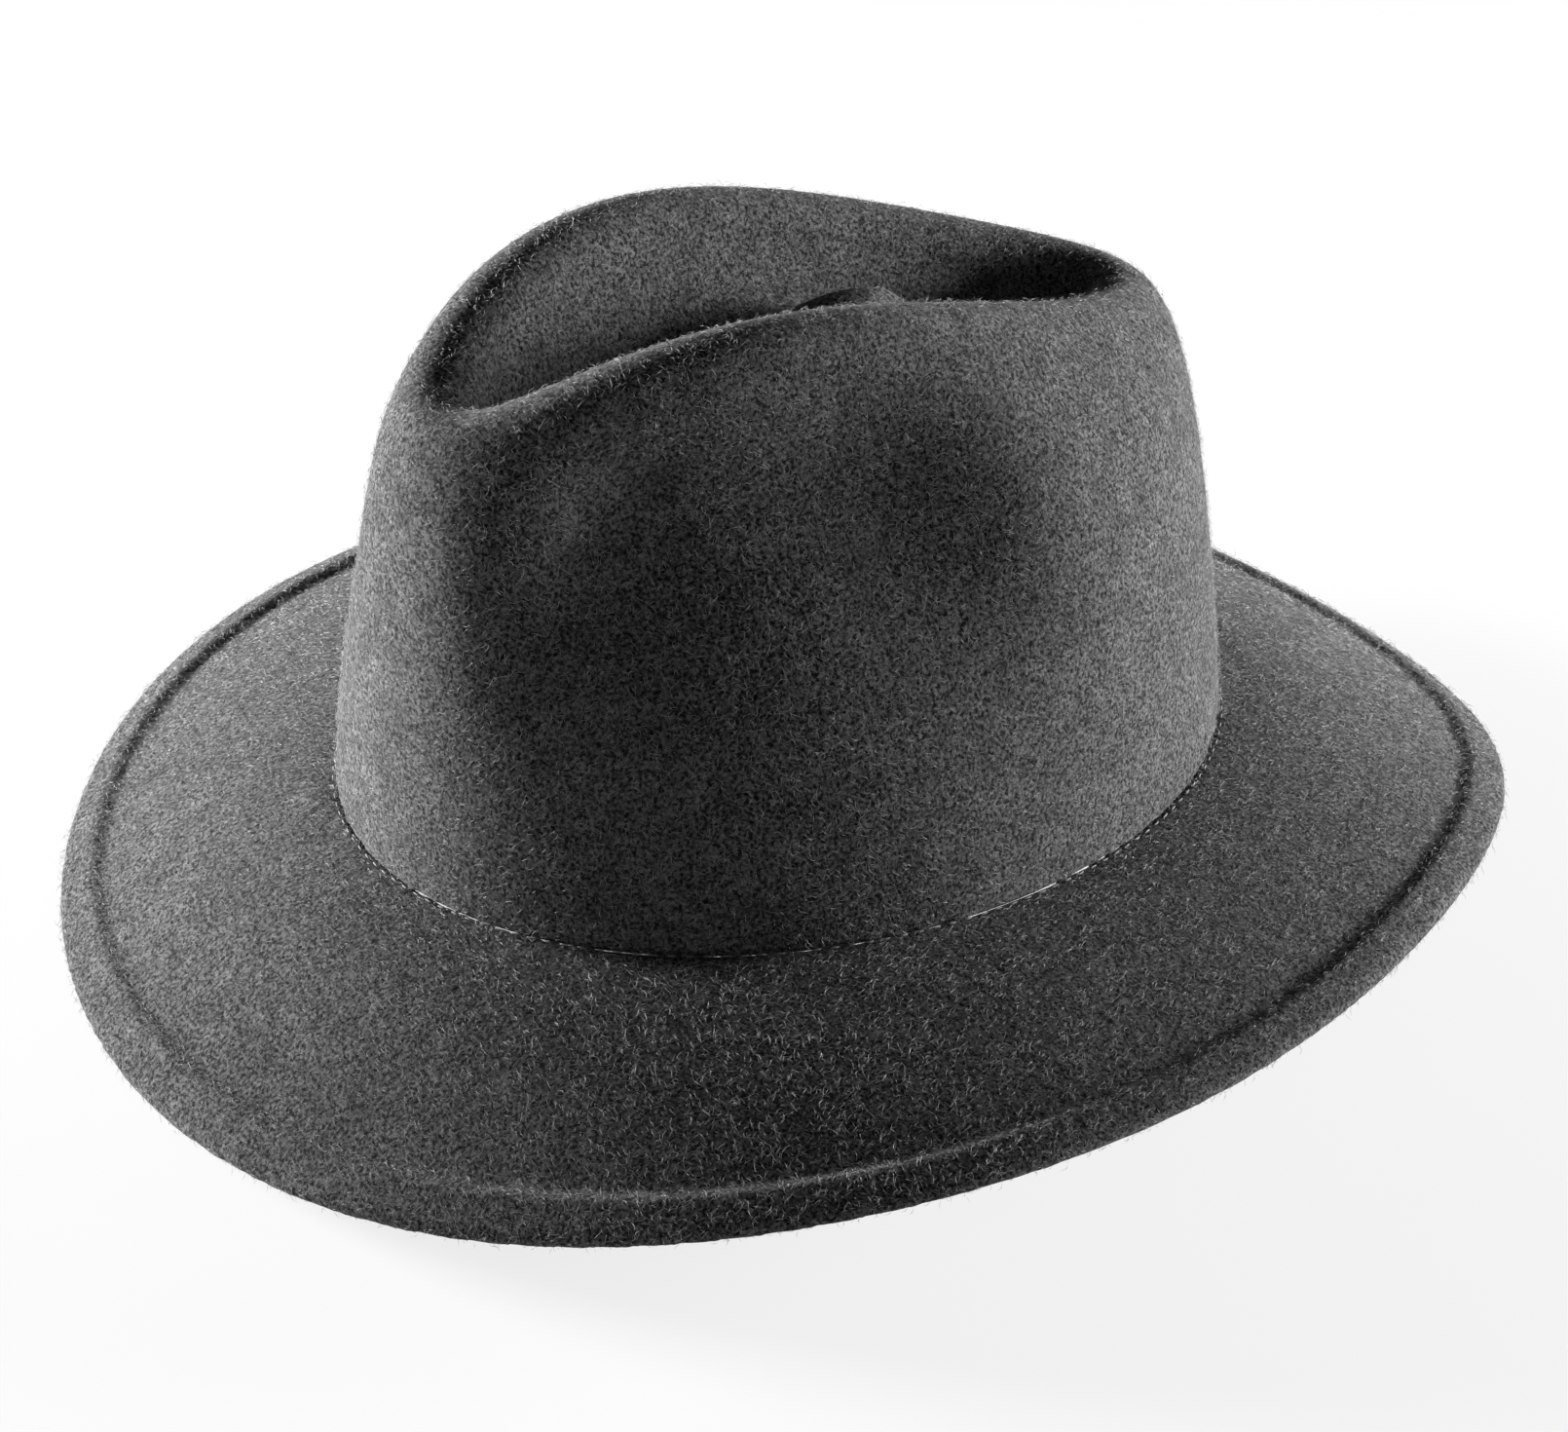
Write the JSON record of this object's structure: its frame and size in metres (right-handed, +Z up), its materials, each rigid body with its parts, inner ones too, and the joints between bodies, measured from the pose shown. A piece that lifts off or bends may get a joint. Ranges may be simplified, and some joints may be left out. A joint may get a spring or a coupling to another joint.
{
  "type": "fedora hat",
  "caption": "Soft wool-felt fedora with a teardrop crown, pinched front and snap brim with a turned-up wired hem, plain outside with a head band inside the crown.",
  "frame": {"origin": "centre of the head opening, in the plane where crown and brim meet", "axes": "+Z up through the crown, the front of the hat faces -Y, +X is the wearer's left"},
  "size_m": [0.3012, 0.3352, 0.1604],
  "materials": {
    "felt": "charcoal melange wool felt, soft nap",
    "thread": "matt sewing thread",
    "band": "soft satin",
    "tape": "ribbed ribbon",
    "reed": "matt",
    "wire": "drawn spring wire",
    "sleeve": "crimped tube",
    "label": "woven satin"
  },
  "bodies": {
    "root": {"crown": "felt", "brim": "felt", "brim_wire": "wire", "wire_sleeve": "sleeve", "break_stitches": "thread", "hem_stitches": "thread", "sweatband": "band", "sweatband_reed": "reed", "reed_tape": "tape", "sweatband_seam_stitches": "thread", "sweatband_bow": "tape", "size_label": "label", "care_label": "label"}
  },
  "joints": []
}
